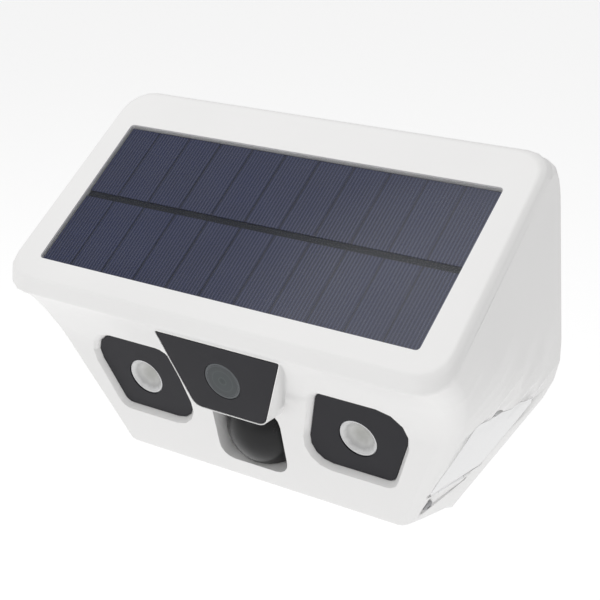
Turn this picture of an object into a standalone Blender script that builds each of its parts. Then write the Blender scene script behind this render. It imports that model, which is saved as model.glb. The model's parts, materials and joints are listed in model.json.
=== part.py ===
"""A wall-mounted solar security camera: a wedge-shaped housing with a solar panel on top, a camera
between two spotlights and a motion sensor in front, and a service door over the ports at one side.

+Z is up, the front faces -Y, and the origin is the middle of the wall plate's back face. Driving
sizes are in millimetres and are scaled to metres as each mesh is made.
"""

import math

import bmesh
import bpy
from mathutils import Matrix, Vector

MM = 0.001
GAP = 0.35

# Overall layout
TILT = math.radians(36.0)  # the panel's slope from level
LEAN = math.radians(15.8)  # how far the front face leans back from upright
BACK = -1.2  # the housing's back plane
PANEL_TOP = Vector((0.0, -26.4, 95.0))  # middle of the panel opening's top edge
PANEL_W, PANEL_L = 212.0, 89.6
LAMP_MID = Vector((0.0, -72.8, -20.1))  # between the two lamps, on the bezels' front plane
LAMP_X = 62.4
WALL = 3.0

# Housing outline
SIDE_HALF, SIDE_FLARE = 120.4, 0.103  # half width at the panel's back, and its growth with depth
SIDE_SPREAD = 0.026  # its growth towards the front
TAPER_BACK = (127.9, 0.622)  # half width at z = 0 on the back plane, and its slope
TAPER_FRONT = (111.6, 0.478)  # the same, TAPER_RUN in front of it
TAPER_RUN = 113.8
TAPER_BLEND = 11.0
LIP_S, LIP_H = 101.5, 9.0
FACE_OUT = 2.5  # the face stands this far in front of the bezels
BROW_T = -11.0  # where the hollow under the lip meets the face
FACE_END_T = 45.0
BOTTOM_DROP = 19.0
EDGE_R = 5.0
TOP_BACK_R = 5.6
SLICE = 8.3

# Panel stack, as depths below the frame
RECESS_D = 5.7
GLASS_D, CELL_D, BOARD_D, TAPE_D = (1.0, 2.0), (2.35, 2.85), (3.2, 4.4), (4.7, 5.4)
CELL_COUNT, CELL_PITCH, CELL_GAP = 11, 19.45, 0.9
BUS_GAP = 3.9  # the dark band between the two rows of cells

# Camera snout
WINDOW_OUT = 13.0
WINDOW_TOP, WINDOW_BOTTOM = -43.9, -4.6
WINDOW_HALF_TOP, WINDOW_HALF_BOTTOM = 35.15, 20.25
SNOUT_RIM = 0.8
LENS_T = -24.3
LENS_R = 10.15

# Spotlights
LAMP_R = 10.15
BEZEL_T = 2.2
BEZEL = ((43.1, -21.2, 5.0), (95.1, -21.2, 12.0), (79.3, 20.0, 5.0), (31.8, 20.0, 11.0))

# Motion sensor
DOME_R, DOME_T, DOME_OUT = 22.0, 19.9, -15.7
DOME_WALL = 1.5
NICHE_BACK, NICHE_FRONT = -10.0, 9.5
DOME_POCKET = ((-20.0, -4.0, 9.0), (20.0, -4.0, 9.0), (20.0, 34.5, 7.5), (-20.0, 34.5, 7.5))

# Service door, on the right-hand taper. U runs to the back, V down the slope, W outwards
DOOR_Y, DOOR_Z = -63.5, -2.0  # where its front upper corner lies
DOOR = ((0.0, 0.5, 3.0), (50.0, 0.5, 3.0), (46.0, 47.5, 3.0), (0.0, 47.5, 3.0))
DOOR_T, SEAL_T = 2.2, 0.8
BAY = ((5.0, 5.0, 2.0), (42.0, 5.0, 2.0), (40.0, 39.0, 2.0), (5.0, 39.0, 2.0))
BAY_D = 17.0
NOTCH_U, NOTCH_R = 16.0, 7.0
PIN_U, PIN_V, PIN_W = (4.0, 38.0), 50.2, -1.9
KNUCKLES = (4.0, 10.0, 32.0, 38.0)
LEAF = ((4.0, 52.4, 0.8), (39.0, 52.4, 0.8), (39.0, 55.8, 0.8), (14.0, 63.4, 4.0), (4.0, 63.4, 4.0))
LEAF_W = (-3.2, -1.6)
SCREW_UV = (9.2, 59.0)

PORT_TOP = -14.05  # the port board's upper face, less a gap

# Batteries
CELL_R, CELL_LEN = 9.2, 65.0
CELL_Z = (66.0, 46.0, 26.0)
CELL_Y = -19.0
HOLDER_Y = (-26.0, -8.0)

# Back: cover screws, main board, wall plate and its hooks
COVER_SCREWS = ((-112.0, 84.0), (112.0, 84.0), (-84.0, -50.0), (84.0, -50.0))
BOARD_Y = (-14.6, -13.0)
BOARD_POSTS = ((-38.0, 6.0), (38.0, 6.0), (-38.0, -56.0), (38.0, -56.0))
HOOK_X, HOOK_Z = (-46.0, 46.0), 14.0
WALL_HOLES = ((-36.0, -24.0), (36.0, -24.0), (0.0, 24.0))

X = Vector((1.0, 0.0, 0.0))
PANEL_S = Vector((0.0, -math.cos(TILT), -math.sin(TILT)))
PANEL_N = Vector((0.0, -math.sin(TILT), math.cos(TILT)))
FACE_T = Vector((0.0, math.sin(LEAN), -math.cos(LEAN)))
FACE_O = Vector((0.0, -math.cos(LEAN), -math.sin(LEAN)))


def basis(origin, across, up, out):
    """A matrix that places local X, Y and Z along the three directions."""
    turn = Matrix((across, up, out)).transposed().to_4x4()
    return Matrix.Translation(Vector(origin) * MM) @ turn


PANEL = basis(PANEL_TOP, X, -PANEL_S, PANEL_N)  # local Y up the slope
FACE = basis(LAMP_MID, X, -FACE_T, FACE_O)  # local Y up the face
BEHIND = basis((0, 0, 0), -X, Vector((0, 0, 1)), Vector((0, 1, 0)))  # seen from behind


def clear_scene():
    for obj in list(bpy.data.objects):
        bpy.data.objects.remove(obj, do_unlink=True)


def collection(name):
    made = bpy.data.collections.new(name)
    bpy.context.scene.collection.children.link(made)
    return made


clear_scene()
PARTS = collection("solar_security_camera")
CUTTERS = collection("cutters")


def material(name, color, roughness, metallic=0.0):
    made = bpy.data.materials.get(name)
    if made is None:
        made = bpy.data.materials.new(name)
        made.use_nodes = True
        shader = made.node_tree.nodes["Principled BSDF"]
        shader.inputs["Base Color"].default_value = (*color, 1.0)
        shader.inputs["Roughness"].default_value = roughness
        shader.inputs["Metallic"].default_value = metallic
    return made


WHITE = ("white_plastic", (0.84, 0.84, 0.83), 0.45)
CHARCOAL = ("charcoal_plastic", (0.035, 0.035, 0.04), 0.35)
CELL_BLUE = ("cell_navy", (0.03, 0.035, 0.07), 0.3)
CLEAR = ("clear_plastic", (0.75, 0.78, 0.8), 0.08)
GREEN = ("circuit_green", (0.02, 0.16, 0.07), 0.5)
STEEL = ("screw_steel", (0.55, 0.56, 0.57), 0.3, 1.0)
ALUMINIUM = ("aluminium", (0.75, 0.76, 0.77), 0.35, 1.0)
RUBBER = ("seal_rubber", (0.03, 0.03, 0.03), 0.8)
BLACK = ("black_plastic", (0.02, 0.02, 0.022), 0.4)
SLEEVE = ("battery_sleeve", (0.04, 0.16, 0.42), 0.4)


def link(obj, look=None):
    """Puts the object among the parts, or among the cutters if it has no look."""
    if look is None:
        CUTTERS.objects.link(obj)
        obj.hide_render = True
        obj.display_type = "WIRE"
        return obj
    PARTS.objects.link(obj)
    obj.data.materials.append(material(*look))
    return obj


def object_from(name, builder, look=None, place=Matrix(), smooth=False):
    """An object from a bmesh that is closed, its faces made to point out."""
    bmesh.ops.recalc_face_normals(builder, faces=builder.faces)
    mesh = bpy.data.meshes.new(name)
    builder.to_mesh(mesh)
    builder.free()
    if smooth:
        mesh.shade_smooth()
        mesh.set_sharp_from_angle(angle=math.radians(35))
    obj = bpy.data.objects.new(name, mesh)
    obj.matrix_world = place
    return link(obj, look)


def box(name, low, high, look=None, place=Matrix()):
    """A block between two corners, in millimetres of its own frame."""
    low, high = Vector(low) * MM, Vector(high) * MM
    size = Matrix.Diagonal((*(high - low), 1.0))
    builder = bmesh.new()
    bmesh.ops.create_cube(builder, size=1.0, matrix=Matrix.Translation((low + high) / 2) @ size)
    return object_from(name, builder, look, place)


def rod(name, radius, start, end, look=None, place=Matrix(), sides=24, end_radius=None):
    """A cylinder or a cone from one point to another."""
    start, end = Vector(start) * MM, Vector(end) * MM
    along = end - start
    turn = along.to_track_quat("Z", "Y").to_matrix().to_4x4()
    builder = bmesh.new()
    bmesh.ops.create_cone(
        builder,
        cap_ends=True,
        segments=sides,
        radius1=radius * MM,
        radius2=(radius if end_radius is None else end_radius) * MM,
        depth=along.length,
        matrix=Matrix.Translation((start + end) / 2) @ turn,
    )
    return object_from(name, builder, look, place, smooth=True)


def turned(name, profile, look=None, place=Matrix(), steps=32):
    """A solid of revolution about local Z. The profile (radius, height) runs from the top down."""
    builder = bmesh.new()
    points = [builder.verts.new((r * MM, 0.0, z * MM)) for r, z in profile]
    for first, second in zip(points, points[1:]):
        builder.edges.new((first, second))
    if profile[0][0] > 0:
        builder.edges.new((points[-1], points[0]))
    mesh = bpy.data.meshes.new(name)
    builder.to_mesh(mesh)
    builder.free()
    obj = bpy.data.objects.new(name, mesh)
    obj.matrix_world = place
    screw = obj.modifiers.new("turn", "SCREW")
    screw.axis = "Z"
    screw.steps = steps
    screw.render_steps = steps
    screw.use_merge_vertices = True
    screw.merge_threshold = 0.00001
    screw.use_smooth_shade = True
    return link(obj, look)


def fillet(corners, steps=4):
    """The closed outline through (x, y, radius) corners, each one rounded."""
    points = []
    for index, (x, y, radius) in enumerate(corners):
        here = Vector((x, y))
        before = Vector(corners[index - 1][:2]) - here
        after = Vector(corners[(index + 1) % len(corners)][:2]) - here
        half = before.angle(after) / 2
        reach = radius / math.tan(half)
        middle = (before.normalized() + after.normalized()).normalized()
        centre = here + middle * (radius / math.sin(half))
        start = here + before.normalized() * reach - centre
        turn = start.angle_signed(here + after.normalized() * reach - centre)
        for step in range(steps + 1):
            spin = Matrix.Rotation(-turn * step / steps, 2)
            points.append(centre + spin @ start)
    return points


def grown(corners, by):
    """The outline's corners moved outwards by a margin."""
    flat = [Vector(corner[:2]) for corner in corners]
    area = sum(a.x * b.y - b.x * a.y for a, b in zip(flat, flat[1:] + flat[:1]))
    side = 1.0 if area > 0 else -1.0
    made = []
    for index, here in enumerate(flat):
        before = (here - flat[index - 1]).normalized()
        after = (flat[(index + 1) % len(flat)] - here).normalized()
        out_before = Vector((before.y, -before.x)) * side
        out_after = Vector((after.y, -after.x)) * side
        shift = (out_before + out_after) * (by / (1.0 + out_before.dot(out_after)))
        made.append((here.x + shift.x, here.y + shift.y, max(corners[index][2] + by, 0.3)))
    return made


def flipped(corners):
    """Corners given as (x, distance down) turned into (x, distance up)."""
    return [(x, -down, radius) for x, down, radius in corners]


def plate(name, outlines, low, high, look=None, place=Matrix()):
    """A flat piece between two heights. The first outline is its edge, and any others are holes."""
    curve = bpy.data.curves.new(name, "CURVE")
    curve.dimensions = "2D"
    curve.fill_mode = "BOTH"
    curve.extrude = (high - low) / 2 * MM
    for outline in outlines:
        spline = curve.splines.new("POLY")
        spline.points.add(len(outline) - 1)
        for point, (x, y) in zip(spline.points, outline):
            point.co = (x * MM, y * MM, 0.0, 1.0)
        spline.use_cyclic_u = True
    drawn = bpy.data.objects.new(name + "_curve", curve)
    CUTTERS.objects.link(drawn)
    depsgraph = bpy.context.evaluated_depsgraph_get()
    mesh = bpy.data.meshes.new_from_object(drawn.evaluated_get(depsgraph))
    bpy.data.objects.remove(drawn)
    builder = bmesh.new()
    builder.from_mesh(mesh)
    bpy.data.meshes.remove(mesh)
    bmesh.ops.remove_doubles(builder, verts=builder.verts, dist=0.000005)
    bmesh.ops.translate(builder, verts=builder.verts, vec=(0.0, 0.0, (high + low) / 2 * MM))
    return object_from(name, builder, look, place)


def circle(x, y, radius, sides=32):
    turns = [2 * math.pi * index / sides for index in range(sides)]
    return [(x + radius * math.cos(turn), y + radius * math.sin(turn)) for turn in turns]


def tapered(name, low_outline, low, high_outline, high, look=None, place=Matrix()):
    """A block whose outline changes from one height to another."""
    builder = bmesh.new()
    rings = []
    for outline, height in ((low_outline, low), (high_outline, high)):
        rings.append([builder.verts.new((x * MM, y * MM, height * MM)) for x, y in outline])
    count = len(rings[0])
    for index in range(count):
        after = (index + 1) % count
        builder.faces.new((rings[0][index], rings[0][after], rings[1][after], rings[1][index]))
    builder.faces.new(rings[0])
    builder.faces.new(rings[1])
    return object_from(name, builder, look, place)


def combine(obj, other, operation):
    """Adds a Boolean. An object marked curved takes the solver that suits its many thin facets."""
    modifier = obj.modifiers.new(operation.lower(), "BOOLEAN")
    modifier.operation = operation
    modifier.solver = "MANIFOLD" if obj.get("curved") else "EXACT"
    modifier.object = other
    return obj


def cut(obj, *cutters):
    for cutter in cutters:
        combine(obj, cutter, "DIFFERENCE")
    return obj


def join(obj, *others):
    for other in others:
        combine(obj, other, "UNION")
    return obj


def keep(obj, other):
    return combine(obj, other, "INTERSECT")


# The housing's outer form


def depth_of(y, z):
    """Depth below the panel's frame of a point in the middle plane."""
    return -(Vector((0.0, y, z)) - PANEL_TOP).dot(PANEL_N)


def slope_of(y, z):
    """Distance down the panel's slope of a point in the middle plane."""
    return (Vector((0.0, y, z)) - PANEL_TOP).dot(PANEL_S)


def half_width(y, z):
    """Half the housing's width: an upright side that turns into a taper lower down."""
    side = SIDE_HALF + SIDE_FLARE * depth_of(y, z) + SIDE_SPREAD * (BACK - y)
    back = TAPER_BACK[0] + TAPER_BACK[1] * z
    front = TAPER_FRONT[0] + TAPER_FRONT[1] * z
    taper = back + (front - back) * (BACK - y) / TAPER_RUN
    near = max(TAPER_BLEND - abs(side - taper), 0.0) / TAPER_BLEND
    return min(side, taper) - near * near * TAPER_BLEND / 4


def taper_frame():
    """The service door's frame: its origin at the door's front upper corner, local Y up the slope."""
    corner, below, behind = (
        Vector((half_width(y, z), y, z))
        for y, z in ((DOOR_Y, DOOR_Z), (DOOR_Y, DOOR_Z - 42), (-14.0, -24.0))
    )
    down = (below - corner).normalized()
    out = down.cross(behind - corner).normalized()
    return basis(corner, out.cross(down), -down, out)


TAPER = taper_frame()


def arc(centre, start, end, steps):
    """Points on the shorter arc about the centre, the start included and the end left out."""
    first, last = start - centre, end - centre
    turn = first.angle_signed(last)
    return [centre + Matrix.Rotation(-turn * step / steps, 2) @ first for step in range(steps)]


def rounded_corner(before, corner, after, radius, steps=3):
    points = fillet([(*before, 0.001), (*corner, radius), (*after, 0.001)], steps)
    return points[steps + 1 : 2 * (steps + 1)]


def front_profile(back):
    """The middle plane's outline from the frame's front edge, over lip, brow and face, to the back."""
    place = lambda t, out: (LAMP_MID + FACE_T * t + FACE_O * out).yz
    frame = (PANEL_TOP + PANEL_S * 40.0).yz
    edge = (PANEL_TOP + PANEL_S * LIP_S).yz
    lip = edge - Vector((0.0, LIP_H))
    brow = place(BROW_T, FACE_OUT)
    rise = (lip - brow).dot(FACE_O.yz)
    radius = (lip - brow).length_squared / (2 * rise)
    centre = brow + FACE_O.yz * radius
    hollow = arc(centre, lip, brow, 8)
    foot = place(FACE_END_T, FACE_OUT)
    heel = Vector((back, foot.y - BOTTOM_DROP * (back - foot.x) / (BACK - foot.x)))
    return [
        *rounded_corner(frame, edge, lip, EDGE_R),
        *rounded_corner(edge, lip, hollow[1], 2.0, 2),
        *hollow[1:],
        brow,
        *rounded_corner(brow, foot, heel, 3.5),
        heel,
    ]


def back_profile(back, top_radius):
    """The middle plane's outline from the frame's back edge down the back plane."""
    frame = (PANEL_TOP + PANEL_S * 20.0).yz
    top = Vector((back, PANEL_TOP.z + (back - PANEL_TOP.y) * math.tan(TILT)))
    low = Vector((back, -120.0))
    return [*rounded_corner(frame, top, low, top_radius, 4), low]


def inset_profile(points, by):
    """The outline moved inwards, towards its own left as it runs down."""
    moved = []
    for index, here in enumerate(points):
        before = points[max(index - 1, 0)]
        after = points[min(index + 1, len(points) - 1)]
        along = (after - before).normalized()
        moved.append(here + Vector((-along.y, along.x)) * by)
    return moved


def reach_at(profile, depth):
    """How far down the slope the outline lies at this depth."""
    pairs = [(depth_of(*point), slope_of(*point)) for point in profile]
    for (d0, s0), (d1, s1) in zip(pairs, pairs[1:]):
        if d0 <= depth <= d1 and d1 > d0:
            return s0 + (s1 - s0) * (depth - d0) / (d1 - d0)
    return pairs[0][1] if depth < pairs[0][0] else pairs[-1][1]


def section(depth, front, back, inset):
    """One slice parallel to the panel: the right half's points, from the back to the front."""
    near, far = reach_at(back, depth), reach_at(front, depth)
    room = far - near
    fade = min(max((depth - 6.0) / 16.0, 0.0), 1.0)
    back_r = 1.5 + 12.5 * (1.0 - math.sqrt(1.0 - (1.0 - fade) ** 2))
    front_r = 15.0 - 8.5 * min(depth / 40.0, 1.0) - 1.5 * min(max((depth - 95.0) / 17.0, 0.0), 1.0)
    back_r = max(min(back_r - inset, room * 0.4), 0.5)
    front_r = max(min(front_r - inset, room * 0.5), 0.5)
    trim = inset * 1.1
    if inset == 0 and depth < EDGE_R:
        trim += EDGE_R - math.sqrt(EDGE_R**2 - (EDGE_R - depth) ** 2)

    def point(s, pull):
        spot = PANEL_TOP + PANEL_S * s - PANEL_N * depth
        return spot + X * (half_width(spot.y, spot.z) - trim - pull)

    quarter = [math.pi / 2 * step / 4 for step in range(5)]
    made = [point(near + back_r * (1 - math.cos(a)), back_r * (1 - math.sin(a))) for a in quarter]
    middle = [near + back_r + (room - back_r - front_r) * step / 4 for step in (1, 2, 3)]
    made += [point(s, 0.0) for s in middle]
    made += [point(far - front_r * (1 - math.sin(a)), front_r * (1 - math.cos(a))) for a in quarter]
    return made


def wedge(name, inset=0.0, top=0.0, back=BACK, look=None):
    """The housing's form, or a smaller one inside it, as slices parallel to the panel."""
    front = front_profile(back)
    rear = back_profile(back, TOP_BACK_R if inset == 0 else 0.01)
    if inset:
        front = inset_profile(front, inset)
        front[-1] = Vector((back, front[-1].y + (front[-1].x - back) * 0.3))
    depths = [depth_of(*point) for point in front + rear]
    lowest = depth_of(*front[-1])
    depths += [top] + [0.3, 1.0, 2.2] * (inset == 0)
    depths += [SLICE * step for step in range(1, 20)]
    depths = sorted(depth for depth in depths if top <= depth < lowest - 0.5)
    depths = [a for a, b in zip(depths, depths[1:] + [1e9]) if b - a > 0.25]
    depths.append(lowest - (0.6 if inset == 0 else 1.1))  # the last slice is too narrow below this
    builder = bmesh.new()
    rings = []
    for depth in depths:
        half = section(depth, front, rear, inset)
        ring = half + [Vector((-p.x, p.y, p.z)) for p in reversed(half)]
        rings.append([builder.verts.new(p * MM) for p in ring])
    count = len(rings[0])
    for upper, lower in zip(rings, rings[1:]):
        for index in range(count):
            after = (index + 1) % count
            builder.faces.new((upper[index], upper[after], lower[after], lower[index]))
    builder.faces.new(rings[0])
    builder.faces.new(rings[-1])
    made = object_from(name, builder, look, smooth=True)
    made["curved"] = True
    return made


def snout_outline(rim, top):
    """The camera window's outline, grown by a rim and carried up to a given height."""
    slope = (WINDOW_HALF_TOP - WINDOW_HALF_BOTTOM) / (WINDOW_BOTTOM - WINDOW_TOP)
    wide = WINDOW_HALF_TOP + slope * (WINDOW_TOP - top)
    low, narrow = WINDOW_BOTTOM, WINDOW_HALF_BOTTOM
    corners = [(-wide, top, 0.4), (wide, top, 0.4), (narrow, low, 5.5), (-narrow, low, 5.5)]
    return fillet(grown(flipped(corners), rim))


def bezel_outline(side, by=0.0):
    corners = [(side * x, y, radius) for x, y, radius in BEZEL]
    return fillet(grown(flipped(corners), by))


def add_snout(housing):
    """The hooded block that carries the camera window forward of the face."""
    body = tapered(
        "snout_form",
        snout_outline(SNOUT_RIM + 2.4, WINDOW_TOP - 14.0),
        0.5,
        snout_outline(SNOUT_RIM, WINDOW_TOP - 10.0),
        WINDOW_OUT,
        place=FACE,
    )
    return join(housing, body)


def hollow_snout(housing):
    """The window's seat, and the space behind it."""
    seat = plate("window_seat", [snout_outline(GAP, WINDOW_TOP)], 10.9, 20.0, place=FACE)
    throat = plate("snout_throat", [snout_outline(-2.0, WINDOW_TOP)], -8.0, 12.0, place=FACE)
    return cut(housing, seat, throat)


def add_lamp_seats(housing):
    """A tray behind each spotlight bezel, with a hole for its lens and a sloped rim in front."""
    for side in (-1, 1):
        tray = plate("lamp_tray", [bezel_outline(side, 2.4)], -5.4, 1.0, place=FACE)
        join(housing, tray)
    for side in (-1, 1):
        seat = plate("bezel_seat", [bezel_outline(side, GAP)], -2.6, 12.0, place=FACE)
        rim = tapered(
            "bezel_rim",
            bezel_outline(side, GAP),
            -0.2,
            bezel_outline(side, 5.0),
            FACE_OUT + 3.2,
            place=FACE,
        )
        middle = side * LAMP_X
        hole = rod("lamp_hole", LAMP_R + 0.6, (middle, 0, -9), (middle, 0, 3), place=FACE, sides=32)
        cut(housing, seat, rim, hole)
    return housing


def niche_form(name, by, low):
    """The sensor niche's form, which widens a little towards the front."""
    corners = flipped(DOME_POCKET)
    back, front = fillet(grown(corners, by - 1.0)), fillet(grown(corners, by + 0.8))
    return tapered(name, back, low, front, NICHE_FRONT, place=FACE)


def add_sensor_seat(housing):
    """The deep niche under the snout that the sensor's dome fills from behind."""
    outline = fillet(grown(flipped(DOME_POCKET), 2.4))
    join(housing, plate("dome_tray", [outline], NICHE_BACK, 1.0, place=FACE))
    return cut(housing, niche_form("dome_niche", 0.0, NICHE_BACK - 4.0))


def add_panel_seat(housing):
    """The recess that the solar panel lies in, its floor thinned, with a hole for the lead."""
    half = PANEL_W / 2
    recess = plate(
        "panel_recess",
        [fillet([(-half, 0, 2), (half, 0, 2), (half, -PANEL_L, 2), (-half, -PANEL_L, 2)])],
        -RECESS_D,
        10.0,
        place=PANEL,
    )
    relief = box("panel_relief", (-98, -82, -13), (98, -8, -8.4), place=PANEL)
    lead_hole = rod("lead_hole", 4.0, (70, -16, -12), (70, -16, -3), place=PANEL)
    return cut(housing, recess, relief, lead_hole)


def add_back_seat(housing):
    """The rear opening, with a step that the cover and its seal sit on, and four screw posts."""
    step_y, rim_y = BACK - 5.0, 6.0
    opening = wedge("back_opening", WALL + 1.4, 12.5, 8.0)
    keep(opening, box("opening_zone", (-140, step_y - 3.3, -100), (140, rim_y, 130)))
    pocket = wedge("cover_pocket", 1.6, 9.6, 8.0)
    keep(pocket, box("pocket_zone", (-140, step_y, -100), (140, rim_y, 130)))
    cut(housing, opening, pocket)
    for x, z in COVER_SCREWS:
        post = rod("screw_post", 3.6, (x, step_y - 16, z), (x, BACK - 3.4 - GAP, z), sides=20)
        pilot = rod("screw_pilot", 1.45, (x, step_y - 11, z), (x, 0, z), sides=16)
        web = box(
            "post_web",
            (min(x, x + math.copysign(12, x)), step_y - 15.5, z - 1.2),
            (max(x, x + math.copysign(12, x)), step_y - 0.2, z + 1.2),
        )
        keep(web, wedge("web_limit", 1.0, 8.0, 8.0))
        join(housing, post, web)
        cut(housing, pilot)
    return housing




def door_prism(name, by, low, high):
    """The service door's outline carried along the taper's normal."""
    return plate(name, [fillet(grown(flipped(DOOR), by))], low, high, place=TAPER)


def add_service_bay(housing):
    """The box behind the service door, the door's own step, and the hinge leaf's screw seat."""
    tray = plate("bay_tray", [fillet(grown(flipped(BAY), 2.0))], -BAY_D - 2.0, -5.0, place=TAPER)
    flange = door_prism("door_flange", 2.6, -6.6, -0.8)
    leaf_back = plate("leaf_flange", [leaf_outline(2.2)], -6.9, -0.9, place=TAPER)
    for piece in (flange, leaf_back):
        keep(piece, wedge("flange_limit", 1.2, 8.0, BACK))
    join(housing, flange, tray, leaf_back)
    step = door_prism("door_step", GAP, -5.0, 9.0)
    cut(step, wedge("door_step_floor", DOOR_T + SEAL_T + 4 * GAP, 1.0, BACK))
    bay = plate("bay_hollow", [fillet(flipped(BAY))], -BAY_D, 9.0, place=TAPER)
    top = NOTCH_R - 3.0 + DOOR[0][1]
    notch = rod("nail_notch", NOTCH_R, (NOTCH_U, -top, -2.9), (NOTCH_U, -top, 7.0), place=TAPER, sides=32)
    u0, u1 = PIN_U[0] - 0.5, PIN_U[1] + 0.5
    channel = rod("hinge_channel", 2.1, (u0, -PIN_V, PIN_W), (u1, -PIN_V, PIN_W), place=TAPER)
    mouth = box("hinge_mouth", (u0, -PIN_V - 2.6, LEAF_W[0] - GAP), (u1, -PIN_V + 2.6, 9.0), place=TAPER)
    low, high = -DOOR[2][1] - 1.5, -DOOR[2][1] + 1.0
    relief = box("door_swing", (DOOR[3][0] - 0.8, low, -1.4), (DOOR[2][0] + 0.8, high, 9.0), place=TAPER)
    leaf = plate("leaf_seat", [leaf_outline(GAP)], LEAF_W[0] - GAP, 12.0, place=TAPER)
    u, v = SCREW_UV
    pilot = rod("door_screw_pilot", 1.35, (u, -v, -12.0), (u, -v, 4.0), place=TAPER, sides=16)
    return cut(housing, step, bay, notch, channel, mouth, relief, leaf, pilot)


def leaf_outline(by=0.0):
    """The outline of the fixed strip that the door hangs on."""
    return fillet(grown(flipped(LEAF), by))


def front_housing():
    """The white moulded shell: frame, lip, face, sides and bottom, open at the back."""
    housing = wedge("front_housing", look=WHITE)
    add_snout(housing)
    cut(housing, wedge("main_hollow", WALL, 11.2, BACK - 6.5))
    add_sensor_seat(housing)
    add_lamp_seats(housing)
    hollow_snout(housing)
    add_panel_seat(housing)
    add_back_seat(housing)
    add_service_bay(housing)
    return housing



def rear_cover():
    """The flat back plate, with the recess for the wall plate, slots for its hooks and four posts."""
    cover = wedge("rear_cover", 2.8, 10.8, BACK, look=WHITE)
    keep(cover, box("cover_zone", (-140, BACK - 3.4, -100), (140, 2, 130)))
    for x, z in BOARD_POSTS:
        post = rod("board_post", 3.0, (x, BOARD_Y[1] + GAP, z), (x, BACK - 3.0, z), sides=16)
        join(cover, post)
    for side in (-1, 1):
        rib = box("cell_rib", (side * 20 - 3, HOLDER_Y[1] + GAP, 20), (side * 20 + 3, BACK - 3.0, 72))
        join(cover, rib)
    recess = box("plate_recess", (-56, BACK - 1.6, -44), (56, 3, 35))
    cut(cover, recess)
    for x in HOOK_X:
        slot = box("hook_slot", (x - 5.5, -12, HOOK_Z - 15), (x + 5.5, 3, HOOK_Z + GAP))
        cut(cover, slot)
    for x, z in COVER_SCREWS:
        head = rod("head_seat", 3.1, (x, BACK - 1.9, z), (x, 3, z), sides=20)
        shank = rod("shank_hole", 1.7, (x, -12, z), (x, 2, z), sides=16)
        cut(cover, head, shank)
    return cover


def cover_seal():
    """The rubber ring between the cover and the housing's step."""
    seal = wedge("cover_seal", 2.8, 10.8, BACK, look=RUBBER)
    keep(seal, box("seal_zone", (-140, BACK - 4.7, -100), (140, BACK - 3.7, 130)))
    return cut(seal, wedge("seal_hole", 4.2, 12.2, 8.0))


def screw(name, place, head_r, head_h, shank_r, length):
    """A pan-head screw along local Z, its head's underside at the origin, with a cross recess."""
    body = turned(
        name,
        [
            (0.0, head_h),
            (head_r * 0.7, head_h),
            (head_r, head_h * 0.55),
            (head_r, 0.0),
            (shank_r, 0.0),
            (shank_r, -length + shank_r),
            (0.0, -length),
        ],
        STEEL,
        place,
        steps=20,
    )
    arm, wide = head_r * 0.55, head_r * 0.12
    for a, b in ((arm, wide), (wide, arm)):
        cut(body, box("cross", (-a, -b, head_h * 0.4), (a, b, head_h + 1), place=place))
    return body


def cover_screws():
    for index, (x, z) in enumerate(COVER_SCREWS, start=1):
        place = basis((x, BACK - 1.9 + GAP, z), -X, Vector((0, 0, 1)), Vector((0, 1, 0)))
        screw(f"cover_screw_{index}", place, 2.7, 1.4, 1.2, 11.0)


def wall_plate():
    """The plate fixed to the wall, with two upturned hooks that the camera hangs on."""
    front, back = BACK - 1.6 + GAP, 0.0
    corners = [(-52, -34, 5), (52, -34, 5), (52, 32, 5), (-52, 32, 5)]
    holes = [circle(-x, z, 2.3, 16) for x, z in WALL_HOLES]
    body = plate("wall_plate", [fillet(corners), *holes], front, back, STEEL, BEHIND)
    for x in HOOK_X:
        stem = box("hook_stem", (x - 4, -7.2, HOOK_Z - 2.6), (x + 4, front + 0.5, HOOK_Z))
        finger = box("hook_finger", (x - 4, -7.4, HOOK_Z - 2.7), (x + 4, -5.4, HOOK_Z + 6.5))
        join(body, stem, finger)
    return body


def flat_ring(corners, by, width):
    """A frame-shaped outline pair: the outer edge and the hole."""
    return [fillet(grown(corners, by)), fillet(grown(corners, by - width))]


def solar_panel():
    """Cover sheet, two rows of cells, backing board and the adhesive frame that holds them down."""
    half, low = PANEL_W / 2 - GAP, -PANEL_L + GAP
    corners = [(-half, -GAP, 1.6), (half, -GAP, 1.6), (half, low, 1.6), (-half, low, 1.6)]
    edge = [fillet(corners)]
    plate("panel_cover_sheet", edge, -GLASS_D[1], -GLASS_D[0], CLEAR, PANEL)
    hole = circle(70, -16, 2.4, 16)
    plate("panel_board", [*edge, hole], -BOARD_D[1], -BOARD_D[0], GREEN, PANEL)
    plate("panel_adhesive", flat_ring(corners, 0.0, 6.0), -TAPE_D[1], -TAPE_D[0], BLACK, PANEL)
    middle = PANEL_L * 0.508
    rows = (("cells_upper", -1.2, -middle + BUS_GAP / 2), ("cells_lower", -middle - BUS_GAP / 2, low + 0.6))
    for name, top, bottom in rows:
        cell_string(name, bottom, top)


def cell_string(name, bottom, top):
    """Eleven cells in a row, joined by the thin ribbon strip under the grooves between them."""
    width = PANEL_W - 1.4
    body = box(name, (-width / 2, bottom, -CELL_D[1]), (width / 2, top, -CELL_D[0]), CELL_BLUE, PANEL)
    for index in range(1, CELL_COUNT):
        x = (index - CELL_COUNT / 2) * CELL_PITCH
        low, high = (x - CELL_GAP / 2, bottom - 1, -CELL_D[0] - 0.2), (x + CELL_GAP / 2, top + 1, 0)
        cut(body, box("cell_groove", low, high, place=PANEL))
    return body


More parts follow.
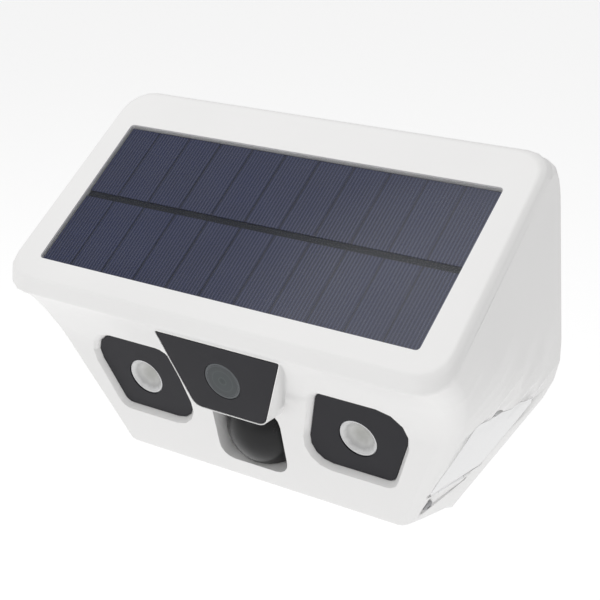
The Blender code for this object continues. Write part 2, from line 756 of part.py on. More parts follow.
def camera_module():
    """Window, clear disc, seal, lens, lens mount, sensor and board, front to back."""
    axis = basis(LAMP_MID + FACE_T * LENS_T, X, -FACE_T, FACE_O)
    window = [snout_outline(-0.1, WINDOW_TOP), circle(0, -LENS_T, LENS_R, 40)]
    plate("camera_window", window, 11.6, WINDOW_OUT, CHARCOAL, FACE)
    disc = [(0, 12.9), (LENS_R - 0.35, 12.9), (LENS_R - 0.35, 11.6), (0, 11.6)]
    turned("lens_window", disc, CLEAR, axis, 40)
    tape = [snout_outline(-0.2, WINDOW_TOP), snout_outline(-1.6, WINDOW_TOP)]
    plate("window_seal", tape, 11.0, 11.35, BLACK, FACE)
    barrel = [(5.4, 9.4), (7.0, 9.4), (7.0, 4.0), (6.0, 3.6), (6.0, -1.0), (4.4, -1.0), (4.4, 7.6)]
    turned("lens_barrel", barrel, BLACK, axis, 32)
    turned("lens_glass", [(0, 9.2), (3.0, 8.8), (4.1, 7.9), (4.1, 5.0), (0, 5.0)], CLEAR, axis, 32)
    mount = box("lens_mount", (-10, -10, -4.0), (10, 10, 3.2), BLACK, axis)
    cut(mount, rod("mount_bore", 6.3, (0, 0, -2.2), (0, 0, 9), place=axis, sides=32))
    cut(mount, box("mount_hollow", (-6, -6, -9), (6, 6, -1.6), place=axis))
    box("image_sensor", (-4, -4, -4.0), (4, 4, -2.6), BLACK, axis)
    board = [fillet([(-14, -14, 1.5), (14, -14, 1.5), (14, 14, 1.5), (-14, 14, 1.5)])]
    plate("camera_board", board, -5.6, -4.3, GREEN, axis)


def spotlight(side, word):
    """Bezel, collimating lens, LED, its metal-core board and a finned heat sink behind."""
    middle = side * LAMP_X
    axis = basis(LAMP_MID + X * middle, X, -FACE_T, FACE_O)
    outline = [bezel_outline(side), circle(middle, 0, LAMP_R, 40)]
    plate(f"spotlight_bezel_{word}", outline, -BEZEL_T, 0.0, CHARCOAL, FACE)
    profile = [
        (0.0, -5.6),
        (3.4, -5.2),
        (6.6, -3.4),
        (8.6, -0.5),
        (LAMP_R - GAP, -0.5),
        (LAMP_R - GAP, -2.6),
        (5.6, -12.4),
        (3.2, -12.4),
        (3.2, -9.4),
        (0.0, -8.6),
    ]
    turned(f"spotlight_lens_{word}", profile, CLEAR, axis, 32)
    turned(
        f"spotlight_led_{word}",
        [(0, -10.4), (1.0, -10.7), (1.6, -11.6), (1.6, -12.4), (2.4, -12.4), (2.4, -13.4), (0, -13.4)],
        ("led_amber", (0.9, 0.75, 0.2), 0.3),
        axis,
        16,
    )
    board = [circle(0, 0, 10.0, 24)]
    plate(f"spotlight_board_{word}", board, -15.3, -13.7, ALUMINIUM, axis)
    sink = box(f"spotlight_heat_sink_{word}", (-13, -13, -26.0), (13, 13, -15.6), ALUMINIUM, axis)
    for index in range(4):
        x = -7.8 + 5.2 * index
        cut(sink, box("fin_gap", (x - 1.5, -15, -30), (x + 1.5, 15, -18.2), place=axis))
    return sink


def dome_cap(name, radius, low, look=None):
    """A solid cap of a sphere, from a flat foot at the given height to its crown."""
    foot = math.asin((low - DOME_OUT) / radius)
    axis = basis(LAMP_MID + FACE_T * DOME_T, X, -FACE_T, FACE_O)
    turns = [math.pi / 2 + (foot - math.pi / 2) * step / 9 for step in range(10)]
    rim = [(max(radius * math.cos(a), 0.0), DOME_OUT + radius * math.sin(a)) for a in turns]
    rim[0] = (0.0, DOME_OUT + radius)
    return turned(name, [*rim, (0.0, low)], look, axis, 40)


def motion_sensor():
    """The moulded dome, the sensor can under it and the board that carries the can."""
    low = NICHE_BACK - 2.0
    dome = dome_cap("sensor_dome", DOME_R, low, BLACK)
    keep(dome, niche_form("dome_edge", -0.4, low - 1.0))
    flange = [fillet(grown(flipped(DOME_POCKET), 2.0))]
    join(dome, plate("dome_flange", flange, low, NICHE_BACK - GAP, place=FACE))
    hollow = dome_cap("dome_hollow", DOME_R - DOME_WALL, low - 1.0)
    keep(hollow, niche_form("hollow_edge", -0.4 - DOME_WALL, low - 3.0))
    cut(dome, hollow)
    axis = basis(LAMP_MID + FACE_T * DOME_T, X, -FACE_T, FACE_O)
    can = [(0, -11.6), (4.2, -11.6), (4.6, -12.0), (4.6, -15.6), (0, -15.6)]
    turned("motion_sensor_can", can, STEEL, axis, 24)
    plate("motion_sensor_board", [circle(0, 0, 15.0, 24)], -17.4, -16.0, GREEN, axis)




def electronics():
    """Main board with its radio shield and aerial, on the rear cover's posts."""
    corners = [(-43, -61, 2), (43, -61, 2), (43, 11, 2), (-43, 11, 2)]
    plate("main_board", [fillet(corners)], BOARD_Y[0], BOARD_Y[1], GREEN, BEHIND)
    shield = box("radio_shield", (-14, -19.0, -30), (18, BOARD_Y[0] - GAP, -4), STEEL)
    lid = box("shield_step", (-20, -25, -40), (-12, -17.4, 10))
    cut(shield, lid)
    box("aerial", (-40, -16.4, 11.4), (6, -15.4, 14.4), BLACK)


def battery_pack():
    """Three cells lying across the housing in a moulded cradle."""
    holder = box("battery_cradle", (-37, HOLDER_Y[0], 15), (37, HOLDER_Y[1], 77), BLACK)
    for index, z in enumerate(CELL_Z, start=1):
        start, end = (-CELL_LEN / 2, CELL_Y, z), (CELL_LEN / 2, CELL_Y, z)
        rod(f"battery_cell_{index}", CELL_R, start, end, SLEEVE, sides=28)
        reach = CELL_LEN / 2 + 0.8
        bore = rod("cell_bore", CELL_R + GAP, (-reach, CELL_Y, z), (reach, CELL_Y, z), sides=32)
        mouth = box("cell_mouth", (-reach, -40, z - 7.5), (reach, CELL_Y - 3, z + 7.5))
        cut(holder, bore, mouth)
    return holder


def rectangle(low, high, radius):
    return fillet([(*low, radius), (high[0], low[1], radius), (*high, radius), (low[0], high[1], radius)])




def on_axis(name, origin, turn, *pieces):
    """Parents moving pieces to an empty on their joint's axis, which is the empty's local Z."""
    pivot = bpy.data.objects.new(name, None)
    pivot.empty_display_size = 10 * MM
    pivot.matrix_world = TAPER @ Matrix.Translation(Vector(origin) * MM) @ turn
    PARTS.objects.link(pivot)
    for piece in pieces:
        piece.parent = pivot
        piece.matrix_parent_inverse = pivot.matrix_world.inverted()


ALONG_U = Matrix.Rotation(math.pi / 2, 4, "Y")
ALONG_W = Matrix()


def service_ports():
    """The board behind the service door, with its sockets, buttons and memory card."""
    plate("port_board", [rectangle((7.5, -35.5), (39.0, -8.0), 1)], -15.8, -14.4, GREEN, TAPER)
    shell = [rectangle((10.0, -14.4), (19.0, -10.8), 1.5)]
    socket = plate("usb_socket", shell, PORT_TOP, -7.0, STEEL, TAPER)
    mouth = [rectangle((10.6, -13.8), (18.4, -11.4), 1.1)]
    cut(socket, plate("usb_mouth", mouth, -12.8, 0.0, place=TAPER))
    reader = box("card_reader", (22.5, -16.0, PORT_TOP), (36.5, -11.2, -6.2), STEEL, TAPER)
    cut(reader, box("card_slot", (23.5, -14.5, -13.0), (35.5, -12.7, 0), place=TAPER))
    card = box("memory_card", (23.9, -14.1, -12.6), (35.1, -13.1, -4.6), BLACK, TAPER)
    guard = box("power_switch", (10.0, -27.6, PORT_TOP), (20.0, -22.0, -9.4), STEEL, TAPER)
    cut(guard, box("switch_slot", (11.6, -26.0, -12.6), (18.4, -23.6, 0), place=TAPER))
    knob = box("switch_knob", (12.0, -25.6, -12.2), (15.0, -24.0, -6.4), WHITE, TAPER)
    body = box("reset_switch", (27.0, -28.0, PORT_TOP), (33.0, -22.0, -10.6), BLACK, TAPER)
    cut(body, rod("reset_bore", 1.9, (30, -25, -13.2), (30, -25, 0), place=TAPER, sides=24))
    button = rod("reset_button", 1.5, (30, -25, -12.2), (30, -25, -8.2), WHITE, TAPER, sides=24)
    on_axis("card_slide", (29.5, -13.6, -12.6), ALONG_W, card)
    on_axis("switch_slide", (12.0, -24.8, -12.2), ALONG_U, knob)
    on_axis("button_press", (30.0, -25.0, -12.2), ALONG_W, button)


def knuckle(name, start, end, reach):
    """A hinge barrel about the pin, with a web that reaches its leaf."""
    v, w = -PIN_V, PIN_W
    barrel = rod(name, 1.7, (start, v, w), (end, v, w), place=TAPER, sides=20)
    low, high = min(v, reach), max(v, reach)
    return join(barrel, box("knuckle_web", (start, low, w - 1.3), (end, high, w + 0.3), place=TAPER))


def service_door():
    """The flush cover, the pin it swings on, the strip that holds the pin, its screw and its seal."""
    v, w = -PIN_V, PIN_W
    door = wedge("service_door", look=WHITE)
    keep(door, door_prism("door_form", 0.0, -5.0, 9.0))
    cut(door, wedge("door_back", DOOR_T, 1.0, BACK))
    join(door, knuckle("door_knuckle", KNUCKLES[1] + GAP, KNUCKLES[2] - GAP, 1.4 - DOOR[2][1]))
    bore = rod("pin_bore", 1.05, (0, v, w), (44, v, w), place=TAPER, sides=16)
    cut(door, bore)
    leaf = plate("hinge_leaf", [leaf_outline()], *LEAF_W, WHITE, TAPER)
    join(leaf, knuckle("leaf_knuckle", KNUCKLES[0], KNUCKLES[1], -LEAF[0][1] - 1.0))
    join(leaf, knuckle("leaf_knuckle", KNUCKLES[2], KNUCKLES[3], -LEAF[0][1] - 1.0))
    cut(leaf, bore)
    u, down = SCREW_UV
    cut(leaf, rod("leaf_hole", 1.7, (u, -down, -9.0), (u, -down, 3.0), place=TAPER, sides=16))
    rod("hinge_pin", 0.7, (PIN_U[0], v, w), (PIN_U[1], v, w), STEEL, TAPER, sides=16)
    seat = TAPER @ Matrix.Translation(Vector((u, -down, LEAF_W[1] + GAP)) * MM)
    screw("door_screw", seat, 2.9, 1.6, 1.1, 8.0)
    seal = wedge("door_seal", DOOR_T + GAP, 2.0, BACK, RUBBER)
    keep(seal, plate("seal_edge", [fillet(grown(flipped(BAY), 2.2))], -9.0, 9.0, place=TAPER))
    cut(seal, wedge("seal_back", DOOR_T + GAP + SEAL_T, 3.0, BACK))
    cut(seal, plate("seal_opening", [fillet(grown(flipped(BAY), 0.6))], -12.0, 12.0, place=TAPER))
    on_axis("door_hinge", (PIN_U[0], v, w), ALONG_U, door)


def build():
    front_housing()
    rear_cover()
    cover_seal()
    cover_screws()
    wall_plate()
    solar_panel()
    camera_module()
    for side, word in ((-1, "left"), (1, "right")):
        spotlight(side, word)
    motion_sensor()
    electronics()
    battery_pack()
    service_ports()
    service_door()


build()
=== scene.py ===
"""The solar security camera's looks: smooth moulded shells, spotlight optics and procedural materials
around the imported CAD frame. All lengths are in metres, in the frame's own axes."""

import json
import math

import bmesh
import bpy
from mathutils import Matrix, Vector

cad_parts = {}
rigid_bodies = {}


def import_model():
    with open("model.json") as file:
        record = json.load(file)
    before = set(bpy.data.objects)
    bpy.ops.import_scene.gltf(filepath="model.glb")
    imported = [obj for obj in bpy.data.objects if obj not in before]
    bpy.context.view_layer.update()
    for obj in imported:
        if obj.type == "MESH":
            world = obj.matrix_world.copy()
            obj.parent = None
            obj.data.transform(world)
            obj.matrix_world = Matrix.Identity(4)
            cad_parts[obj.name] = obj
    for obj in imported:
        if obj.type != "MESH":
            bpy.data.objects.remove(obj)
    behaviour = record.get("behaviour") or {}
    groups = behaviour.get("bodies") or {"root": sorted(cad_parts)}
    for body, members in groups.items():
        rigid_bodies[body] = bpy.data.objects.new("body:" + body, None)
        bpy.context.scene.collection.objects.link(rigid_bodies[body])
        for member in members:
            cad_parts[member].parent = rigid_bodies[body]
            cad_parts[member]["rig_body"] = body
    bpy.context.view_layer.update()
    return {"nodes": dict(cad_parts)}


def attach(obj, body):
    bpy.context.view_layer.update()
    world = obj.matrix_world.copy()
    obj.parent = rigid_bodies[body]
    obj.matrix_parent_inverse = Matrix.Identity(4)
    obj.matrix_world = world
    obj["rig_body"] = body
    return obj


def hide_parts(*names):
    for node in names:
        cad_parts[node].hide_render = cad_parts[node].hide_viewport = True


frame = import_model()

MM = 0.001

# The two slopes that the housing is built on
TILT = math.radians(36.0)
LEAN = math.radians(15.8)
DOWN_PANEL = Vector((0.0, -math.cos(TILT), -math.sin(TILT)))
PANEL_TOP = Vector((0.0, -26.4, 95.0)) * MM
FACE_DOWN = Vector((0.0, math.sin(LEAN), -math.cos(LEAN)))
FACE_OUT = Vector((0.0, -math.cos(LEAN), -math.sin(LEAN)))
LAMP_MID = Vector((0.0, -72.8, -20.1)) * MM
LAMP_X = 62.4 * MM
LENS_T = -24.3 * MM
LENS_R = 10.15 * MM
LENS_MID = LAMP_MID + FACE_DOWN * LENS_T

# Solar cells
COLUMNS = 11
CELL_PITCH = 19.45 * MM
FINGER_PITCH = 1.76 * MM
ROW_PITCH = 45.0 * MM
CELL_DIM, CELL_BRIGHT = (0.01, 0.015, 0.046), (0.016, 0.021, 0.06)
CELL_CLOUD = (0.012, 0.019, 0.066)
LINE_BLUE = (0.075, 0.085, 0.17)
SEAM_DARK = (0.006, 0.008, 0.014)
NONE, FULL = (0.0, 0.0, 0.0), (1.0, 1.0, 1.0)

# Scale of surface noise, in repeats a metre
BLOTCHES = 18.0
SMEARS = 140.0
STAINS = 60.0

# Smoothing of the CAD meshes
WELD = 0.004 * MM
FLAT_ANGLE = math.radians(0.6)
BEVEL_STEPS = 2
BEVEL_MARGIN = 8.0
FLAT_WEIGHT = 80

# Turned pieces
ROUND_SIDES = 72
CREASE_ANGLE = math.radians(24)
FLUTE_DEPTH = 0.22
FLUTED_RINGS = (4, 5, 6)

# The photograph's viewpoint
FOCAL_MM = 82.8
SENSOR_MM = 36.0
NEAR_CLIP = 0.01
EYE = Vector((0.35554, -0.56105, 0.25534))
EYE_RIGHT = Vector((0.8306, 0.5569, 0.0078))
EYE_FORWARD = Vector((-0.5207, 0.7815, -0.3437))

# The studio: each light has a place, a target, a width and a power
WORLD_LIGHT = 0.6
BACKDROP_SEEN = 1.05
FLOOR_Z = -0.3
FLOOR_HALF = 4.0
FLOOR_GLOW = 0.36
LIGHTS = (
    ("top_light", (-0.3, -0.4, 1.2), (0.0, -0.05, 0.02), 0.9, 5.6),
    ("front_light", (-0.5, -1.3, 0.3), (0.0, -0.05, 0.0), 0.8, 0.8),
)


class Look:
    """A procedural material, built up a node at a time."""

    def __init__(self, name, color, roughness, **sockets):
        self.material = bpy.data.materials.new(name)
        self.material.use_nodes = True
        self.tree = self.material.node_tree
        self.shader = self.tree.nodes["Principled BSDF"]
        self.shader.inputs["Base Color"].default_value = (*color, 1.0)
        self.shader.inputs["Roughness"].default_value = roughness
        for socket, value in sockets.items():
            self.shader.inputs[socket.replace("_", " ")].default_value = value
        self.place = self.node("TexCoord").outputs["Object"]

    def node(self, kind, **settings):
        made = self.tree.nodes.new("ShaderNode" + kind)
        for key, value in settings.items():
            setattr(made, key, value)
        return made

    def link(self, source, socket):
        self.tree.links.new(source, socket)

    def math(self, operation, first, second=0.0):
        made = self.node("Math", operation=operation)
        for socket, value in zip(made.inputs, (first, second)):
            if isinstance(value, (int, float)):
                socket.default_value = value
            else:
                self.link(value, socket)
        return made.outputs[0]

    def vector(self, operation, first, second, output="Vector"):
        made = self.node("VectorMath", operation=operation)
        for socket, value in zip(made.inputs, (first, second)):
            if isinstance(value, bpy.types.NodeSocket):
                self.link(value, socket)
            else:
                socket.default_value = value
        return made.outputs[output]

    def noise(self, scale, detail):
        made = self.node("TexNoise")
        made.inputs["Scale"].default_value = scale
        made.inputs["Detail"].default_value = detail
        self.link(self.place, made.inputs["Vector"])
        return made.outputs["Fac"]

    def ramp(self, value, *stops):
        made = self.node("ValToRGB")
        ramp = made.color_ramp
        while len(ramp.elements) < len(stops):
            ramp.elements.new(0.5)
        for element, (position, color) in zip(ramp.elements, stops):
            element.position = position
            element.color = (*color, 1.0)
        self.link(value, made.inputs["Fac"])
        return made.outputs["Color"]

    def mix(self, factor, first, second):
        made = self.node("Mix", data_type="RGBA")
        for socket, value in zip((made.inputs[0], made.inputs[6], made.inputs[7]), (factor, first, second)):
            if isinstance(value, bpy.types.NodeSocket):
                self.link(value, socket)
            else:
                socket.default_value = (*value, 1.0)
        return made.outputs[2]

    def color(self, source):
        self.link(source, self.shader.inputs["Base Color"])
        return self

    def rough(self, source, low, high):
        made = self.node("MapRange")
        made.inputs["To Min"].default_value = low
        made.inputs["To Max"].default_value = high
        self.link(source, made.inputs["Value"])
        self.link(made.outputs[0], self.shader.inputs["Roughness"])
        return self

    def bump(self, source, strength, depth):
        made = self.node("Bump")
        made.inputs["Strength"].default_value = strength
        made.inputs["Distance"].default_value = depth
        self.link(source, made.inputs["Height"])
        self.link(made.outputs[0], self.shader.inputs["Normal"])
        return self


def moulded(name, color, low, high, spread=0.04, grain=2600.0, depth=0.00003, strength=0.25, **sockets):
    """Moulded plastic: a fine spark-eroded grain, slightly uneven gloss and colour."""
    look = Look(name, color, low, **sockets)
    light = [min(c * (1 + spread), 1.0) for c in color]
    dark = [c * (1 - spread) for c in color]
    look.color(look.ramp(look.noise(BLOTCHES, 3.0), (0.3, dark), (0.7, light)))
    look.rough(look.noise(SMEARS, 4.0), low, high)
    return look.bump(look.noise(grain, 3.0), strength, depth)


def metal(name, color, low, high, grain=900.0):
    """Plated or cast metal: faint stains and a fine grain."""
    look = Look(name, color, low, Metallic=1.0)
    dark = [c * 0.86 for c in color]
    look.color(look.ramp(look.noise(STAINS, 4.0), (0.3, dark), (0.7, color)))
    look.rough(look.noise(grain, 4.0), low, high)
    return look.bump(look.noise(grain * 2, 2.0), 0.15, 0.00002)


def solar_cell():
    """Navy silicon under fine lines that run up the slope. Dark seams part the cells, each its own blue."""
    look = Look("solar_cell", (0.02, 0.03, 0.06), 0.3, Specular_IOR_Level=0.3)
    split = look.node("SeparateXYZ")
    look.link(look.place, split.inputs[0])
    across = split.outputs["X"]
    down = look.vector("DOT_PRODUCT", look.vector("SUBTRACT", look.place, PANEL_TOP), DOWN_PANEL, "Value")
    column = look.math("DIVIDE", look.math("ADD", across, CELL_PITCH * COLUMNS / 2), CELL_PITCH)
    cell = look.math("FLOOR", column)
    row = look.math("FLOOR", look.math("DIVIDE", down, ROW_PITCH))
    where = look.node("CombineXYZ")
    look.link(cell, where.inputs[0])
    look.link(row, where.inputs[1])
    chance = look.node("TexWhiteNoise", noise_dimensions="2D")
    look.link(where.outputs[0], chance.inputs["Vector"])
    base = look.ramp(chance.outputs["Value"], (0.0, CELL_DIM), (1.0, CELL_BRIGHT))
    cloud = look.ramp(look.noise(24.0, 4.0), (0.35, NONE), (0.65, FULL))
    base = look.mix(cloud, base, CELL_CLOUD)
    phase = look.math("FRACT", look.math("DIVIDE", across, FINGER_PITCH))
    line = look.ramp(
        look.math("ABSOLUTE", look.math("SUBTRACT", phase, 0.5)),
        (0.05, FULL),
        (0.3, NONE),
    )
    seam = look.ramp(
        look.math("ABSOLUTE", look.math("SUBTRACT", look.math("FRACT", column), 0.5)),
        (0.48, NONE),
        (0.49, FULL),
    )
    look.color(look.mix(seam, look.mix(line, base, LINE_BLUE), SEAM_DARK))
    look.rough(look.noise(400.0, 3.0), 0.26, 0.36)
    return look


def radial(look, middle):
    """Distance from the line that leaves the face squarely at a point."""
    arm = look.vector("SUBTRACT", look.place, middle)
    return look.vector("LENGTH", look.vector("CROSS_PRODUCT", arm, FACE_OUT), (0, 0, 0), "Value")


def lens_glass(name):
    """Tinted glass, paler at the rim, with faint rings of painted reflection where the black barrel lies
    behind it.
    """
    look = Look(name, (0.04, 0.046, 0.05), 0.14, Specular_IOR_Level=0.4)
    share = look.math("DIVIDE", radial(look, LENS_MID), LENS_R)
    # paler at the rim; the faint paler rings inside it are painted reflections
    rim_and_painted_reflections = look.ramp(
        share,
        (0.0, (0.022, 0.032, 0.033)),
        (0.16, (0.03, 0.04, 0.042)),
        (0.2, (0.055, 0.068, 0.07)),
        (0.24, (0.036, 0.046, 0.049)),
        (0.52, (0.037, 0.046, 0.05)),
        (0.56, (0.052, 0.062, 0.065)),
        (0.6, (0.04, 0.048, 0.052)),
        (0.8, (0.035, 0.042, 0.046)),
        (0.86, (0.085, 0.093, 0.1)),
        (1.0, (0.07, 0.077, 0.083)),
    )
    look.color(rim_and_painted_reflections)
    look.rough(look.noise(300.0, 3.0), 0.1, 0.16)
    return look.bump(look.noise(500.0, 2.0), 0.05, 0.00001)


def optic(name, middle):
    """Clear moulded optic, its colour painted as light: a painted highlight on the bright rim and painted
    shade in the cup over the light source.
    """
    look = Look(name, (0.6, 0.6, 0.6), 0.12, Coat_Weight=0.5, Coat_Roughness=0.06)
    share = look.math("DIVIDE", radial(look, middle), LENS_R)
    uneven = look.math("MULTIPLY", look.math("SUBTRACT", look.noise(420.0, 2.0), 0.5), 0.16)
    # painted highlight and shade: darker in the cup, paler towards the rim, by distance from the lamp's axis
    painted_highlight_and_shade = look.ramp(
        look.math("ADD", share, uneven),
        (0.0, (0.4, 0.4, 0.38)),
        (0.3, (0.46, 0.46, 0.44)),
        (0.55, (0.58, 0.58, 0.57)),
        (0.7, (0.5, 0.5, 0.5)),
        (0.84, (0.72, 0.72, 0.72)),
        (0.93, (0.62, 0.62, 0.63)),
        (1.0, (0.82, 0.83, 0.84)),
    )
    look.color(painted_highlight_and_shade)
    look.rough(look.noise(600.0, 3.0), 0.08, 0.2)
    return look.bump(look.noise(700.0, 2.0), 0.15, 0.00004)


def cover_sheet():
    """The clear sheet: nearly invisible, with a soft gloss and faint wipe marks."""
    look = Look("cover_sheet", (0.05, 0.055, 0.08), 0.14, Alpha=0.16)
    look.color(look.ramp(look.noise(40.0, 3.0), (0.3, (0.04, 0.045, 0.07)), (0.7, (0.06, 0.065, 0.09))))
    look.rough(look.noise(70.0, 4.0), 0.1, 0.2)
    look.material.surface_render_method = "BLENDED"
    return look


WHITE = moulded("white_housing", (0.85, 0.845, 0.84), 0.42, 0.54, 0.012)
DOOR_WHITE = moulded("white_door", (0.86, 0.86, 0.862), 0.38, 0.5, 0.012)
KNOB_WHITE = moulded("white_knob", (0.8, 0.8, 0.79), 0.35, 0.45, 0.02)
CHARCOAL = moulded(
    "charcoal_face", (0.013, 0.0125, 0.0165), 0.36, 0.46, 0.07, 3200.0, 0.00002, 0.2, Specular_IOR_Level=0.22
)
DOME = moulded(
    "dome_black", (0.006, 0.006, 0.007), 0.24, 0.34, 0.08, 2400.0, 0.00001, 0.1, Specular_IOR_Level=0.35
)
BLACK = moulded("black_moulding", (0.02, 0.02, 0.022), 0.35, 0.5, 0.1)
BACKSHEET = moulded(
    "panel_backsheet", (0.01, 0.012, 0.011), 0.4, 0.5, 0.08, 2600.0, 0.00002, 0.2, Specular_IOR_Level=0.12
)
RUBBER = moulded("seal_rubber", (0.03, 0.03, 0.03), 0.75, 0.9, 0.12, 1200.0, 0.00006, 0.4)
BOARD = moulded("solder_mask", (0.02, 0.16, 0.07), 0.3, 0.45, 0.2, 700.0, 0.00006, 0.3)
SLEEVE = moulded("battery_sleeve", (0.04, 0.16, 0.42), 0.25, 0.35, 0.06, 900.0)
PHOSPHOR = moulded("led_phosphor", (0.9, 0.75, 0.2), 0.35, 0.5, 0.05)
STEEL = metal("zinc_steel", (0.55, 0.56, 0.57), 0.28, 0.42)
DARK_STEEL = metal("screw_steel", (0.34, 0.34, 0.35), 0.3, 0.42)
ALUMINIUM = metal("cast_aluminium", (0.75, 0.76, 0.77), 0.3, 0.45)
CELL = solar_cell()
SHEET = cover_sheet()
LENS = lens_glass("camera_glass")
OPTICS = {
    side: optic(f"spotlight_optic_{word}", LAMP_MID + Vector((side * LAMP_X, 0.0, 0.0)))
    for side, word in ((-1, "left"), (1, "right"))
}

LOOKS = (
    (RUBBER, ("cover_seal", "door_seal", "window_seal")),
    (BOARD, ("camera_board", "motion_sensor_board", "main_board", "port_board")),
    (BACKSHEET, ("panel_board", "panel_adhesive")),
    (CELL, ("cells_upper", "cells_lower")),
    (SHEET, ("panel_cover_sheet",)),
    (SLEEVE, ("battery_cell_1", "battery_cell_2", "battery_cell_3")),
    (PHOSPHOR, ("spotlight_led_left", "spotlight_led_right")),
    (
        ALUMINIUM,
        (
            "spotlight_board_left",
            "spotlight_board_right",
            "spotlight_heat_sink_left",
            "spotlight_heat_sink_right",
        ),
    ),
    (
        STEEL,
        ("motion_sensor_can", "radio_shield", "usb_socket", "card_reader", "power_switch", "hinge_pin"),
    ),
    (DARK_STEEL, ("cover_screw_1", "cover_screw_2", "cover_screw_3", "cover_screw_4", "door_screw")),
    (
        BLACK,
        (
            "lens_barrel",
            "lens_mount",
            "image_sensor",
            "battery_cradle",
            "reset_switch",
            "memory_card",
            "aerial",
        ),
    ),
    (LENS, ("lens_glass",)),
)

for look, names in LOOKS:
    for name in names:
        mesh = frame["nodes"][name].data
        mesh.materials.clear()
        mesh.materials.append(look.material)


def body_of(node):
    return frame["nodes"][node]["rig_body"]


def finish_piece(piece, node, look):
    """Puts a made piece in a CAD node's place."""
    piece.data.materials.clear()
    piece.data.materials.append(look.material)
    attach(piece, body_of(node))
    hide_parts(node)
    return piece


def refined(node, name, slot, look, angle, edge):
    """The node's form, smooth up to an angle in degrees, with its sharper edges broken to a width."""
    builder = bmesh.new()
    builder.from_mesh(frame["nodes"][node].data)
    bmesh.ops.remove_doubles(builder, verts=builder.verts, dist=WELD)
    bmesh.ops.dissolve_degenerate(builder, edges=builder.edges, dist=WELD)
    bmesh.ops.dissolve_limit(
        builder,
        angle_limit=FLAT_ANGLE,
        verts=builder.verts,
        edges=builder.edges,
    )
    mesh = bpy.data.meshes.new(name)
    builder.to_mesh(mesh)
    builder.free()
    mesh.shade_smooth()
    mesh.set_sharp_from_angle(angle=math.radians(angle))
    piece = bpy.data.objects.new(name, mesh)
    bpy.context.scene.collection.objects.link(piece)
    if edge:
        bevel = piece.modifiers.new("broken_edges", "BEVEL")
        bevel.width = edge
        bevel.segments = BEVEL_STEPS
        bevel.limit_method = "ANGLE"
        bevel.angle_limit = math.radians(angle + BEVEL_MARGIN)
    weighted = piece.modifiers.new("face_normals", "WEIGHTED_NORMAL")
    weighted.keep_sharp = True
    weighted.weight = FLAT_WEIGHT
    return finish_piece(piece, node, look)


# CAD node, its copy's name, slot and look, the angle kept smooth and the width of a broken edge
REFINED = (
    ("front_housing", "housing_shell", "white_plastic", WHITE, 34.0, 0.0),
    ("rear_cover", "back_shell", "white_plastic", WHITE, 34.0, 0.0),
    ("service_door", "door_skin", "white_plastic", DOOR_WHITE, 34.0, 0.0),
    ("hinge_leaf", "hinge_strip", "white_plastic", WHITE, 34.0, 0.0002),
    ("switch_knob", "switch_knob_cap", "white_plastic", KNOB_WHITE, 30.0, 0.0002),
    ("reset_button", "reset_button_cap", "white_plastic", KNOB_WHITE, 30.0, 0.0002),
    ("camera_window", "window_panel", "charcoal_plastic", CHARCOAL, 30.0, 0.0002),
    ("spotlight_bezel_left", "bezel_panel_left", "charcoal_plastic", CHARCOAL, 30.0, 0.00035),
    ("spotlight_bezel_right", "bezel_panel_right", "charcoal_plastic", CHARCOAL, 30.0, 0.00035),
    ("sensor_dome", "dome_cover", "black_plastic", DOME, 30.0, 0.0),
    ("wall_plate", "wall_bracket_plate", "screw_steel", STEEL, 30.0, 0.0004),
)

for row in REFINED:
    refined(*row)


def face_axis(x, t):
    """Local Z out of the face, X across, Y up, at a point on the lamps' plane."""
    turn = Matrix((Vector((1, 0, 0)), -FACE_DOWN, FACE_OUT)).transposed().to_4x4()
    return Matrix.Translation(LAMP_MID + Vector((x, 0, 0)) + FACE_DOWN * t) @ turn


def lathe(name, profile, place, fluted=()):
    """A closed turned form from radii and heights in millimetres. Fluted rings are scalloped."""
    builder = bmesh.new()
    rim_and_painted_reflections = []
    for index, (radius, height) in enumerate(profile):
        ring = []
        for step in range(ROUND_SIDES if radius else 1):
            turn = 2 * math.pi * step / ROUND_SIDES
            dent = FLUTE_DEPTH * (step % 2) if index in fluted else 0.0
            spot = Vector((radius * math.cos(turn), radius * math.sin(turn), height - dent)) * MM
            ring.append(builder.verts.new(place @ spot))
        rim_and_painted_reflections.append(ring)
    for upper, lower in zip(rim_and_painted_reflections, rim_and_painted_reflections[1:]):
        for step in range(ROUND_SIDES):
            after = (step + 1) % ROUND_SIDES
            corners = [upper[step % len(upper)], upper[after % len(upper)]]
            corners += [lower[after % len(lower)], lower[step % len(lower)]]
            builder.faces.new(list(dict.fromkeys(corners)))
    bmesh.ops.recalc_face_normals(builder, faces=builder.faces)
    mesh = bpy.data.meshes.new(name)
    builder.to_mesh(mesh)
    builder.free()
    mesh.shade_smooth()
    mesh.set_sharp_from_angle(angle=CREASE_ANGLE)
    piece = bpy.data.objects.new(name, mesh)
    bpy.context.scene.collection.objects.link(piece)
    return piece


OPTIC_PROFILE = (
    (0.0, -5.5),
    (1.6, -5.35),
    (3.4, -4.9),
    (5.0, -4.0),
    (6.4, -2.9),
    (7.6, -1.8),
    (8.5, -0.9),
    (9.0, -0.55),
    (9.75, -0.55),
    (9.98, -0.8),
    (9.98, -2.5),
    (5.6, -12.3),
    (3.3, -12.3),
    (3.3, -9.2),
    (0.0, -8.5),
)
for side, word in ((-1, "left"), (1, "right")):
    cup = lathe(f"optic_{word}", OPTIC_PROFILE, face_axis(side * LAMP_X, 0.0), FLUTED_RINGS)
    finish_piece(cup, f"spotlight_lens_{word}", OPTICS[side])

GLASS_PROFILE = (
    (0.0, 12.88),
    (8.6, 12.86),
    (8.8, 12.7),
    (9.0, 12.86),
    (9.8, 12.86),
    (9.98, 12.65),
    (9.98, 11.65),
    (0.0, 11.65),
)
disc = lathe("camera_glass_disc", GLASS_PROFILE, face_axis(0.0, LENS_T))
finish_piece(disc, "lens_window", LENS)


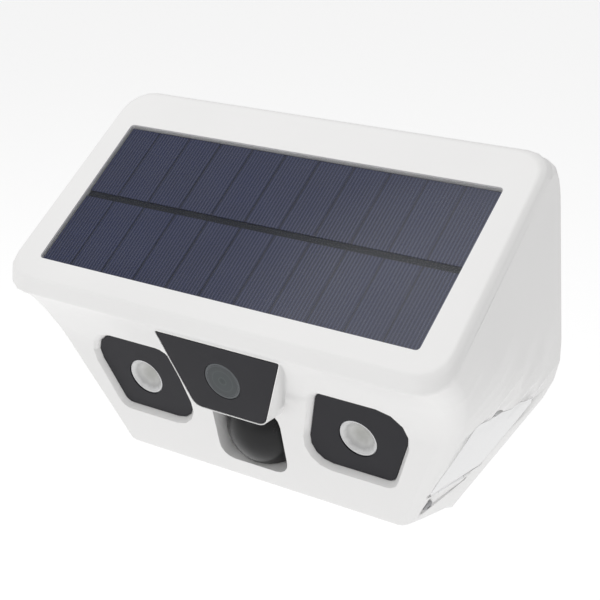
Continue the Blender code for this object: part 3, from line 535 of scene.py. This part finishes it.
def camera():
    """The photograph's viewpoint."""
    data = bpy.data.cameras.new("camera")
    data.lens = FOCAL_MM
    data.sensor_width = SENSOR_MM
    data.clip_start = NEAR_CLIP
    obj = bpy.data.objects.new("camera", data)
    up = EYE_RIGHT.cross(EYE_FORWARD)
    rows = (EYE_RIGHT.normalized(), up.normalized(), -EYE_FORWARD.normalized())
    turn = Matrix(rows).transposed().to_4x4()
    obj.matrix_world = Matrix.Translation(EYE) @ turn
    bpy.context.scene.collection.objects.link(obj)
    bpy.context.scene.camera = obj


def area_light(name, place, target, size, power):
    data = bpy.data.lights.new(name, "AREA")
    data.shape = "DISK"
    data.size = size
    data.energy = power
    obj = bpy.data.objects.new(name, data)
    aim = (Vector(target) - Vector(place)).to_track_quat("-Z", "Y")
    obj.matrix_world = Matrix.Translation(Vector(place)) @ aim.to_matrix().to_4x4()
    bpy.context.scene.collection.objects.link(obj)


def studio():
    """A white world, a pale floor well below the wall-hung object, and soft lights."""
    world = bpy.data.worlds.new("studio")
    world.use_nodes = True
    backdrop = world.node_tree.nodes["Background"]
    backdrop.inputs["Color"].default_value = (1.0, 1.0, 1.0, 1.0)
    seen = world.node_tree.nodes.new("ShaderNodeLightPath")
    level = world.node_tree.nodes.new("ShaderNodeMapRange")
    level.inputs["To Min"].default_value = WORLD_LIGHT
    level.inputs["To Max"].default_value = BACKDROP_SEEN
    world.node_tree.links.new(seen.outputs["Is Camera Ray"], level.inputs["Value"])
    world.node_tree.links.new(level.outputs[0], backdrop.inputs["Strength"])
    bpy.context.scene.world = world
    bpy.context.scene.view_settings.view_transform = "Standard"
    builder = bmesh.new()
    bmesh.ops.create_grid(builder, x_segments=1, y_segments=1, size=FLOOR_HALF)
    mesh = bpy.data.meshes.new("floor")
    builder.to_mesh(mesh)
    builder.free()
    floor = bpy.data.objects.new("floor", mesh)
    floor.location = (0.0, 0.0, FLOOR_Z)
    bpy.context.scene.collection.objects.link(floor)
    pale = Look("floor_pale", (0.9, 0.9, 0.9), 0.8)
    pale.shader.inputs["Emission Color"].default_value = (1.0, 1.0, 1.0, 1.0)
    pale.shader.inputs["Emission Strength"].default_value = FLOOR_GLOW
    mesh.materials.append(pale.material)
    for row in LIGHTS:
        area_light(*row)


camera()
studio()
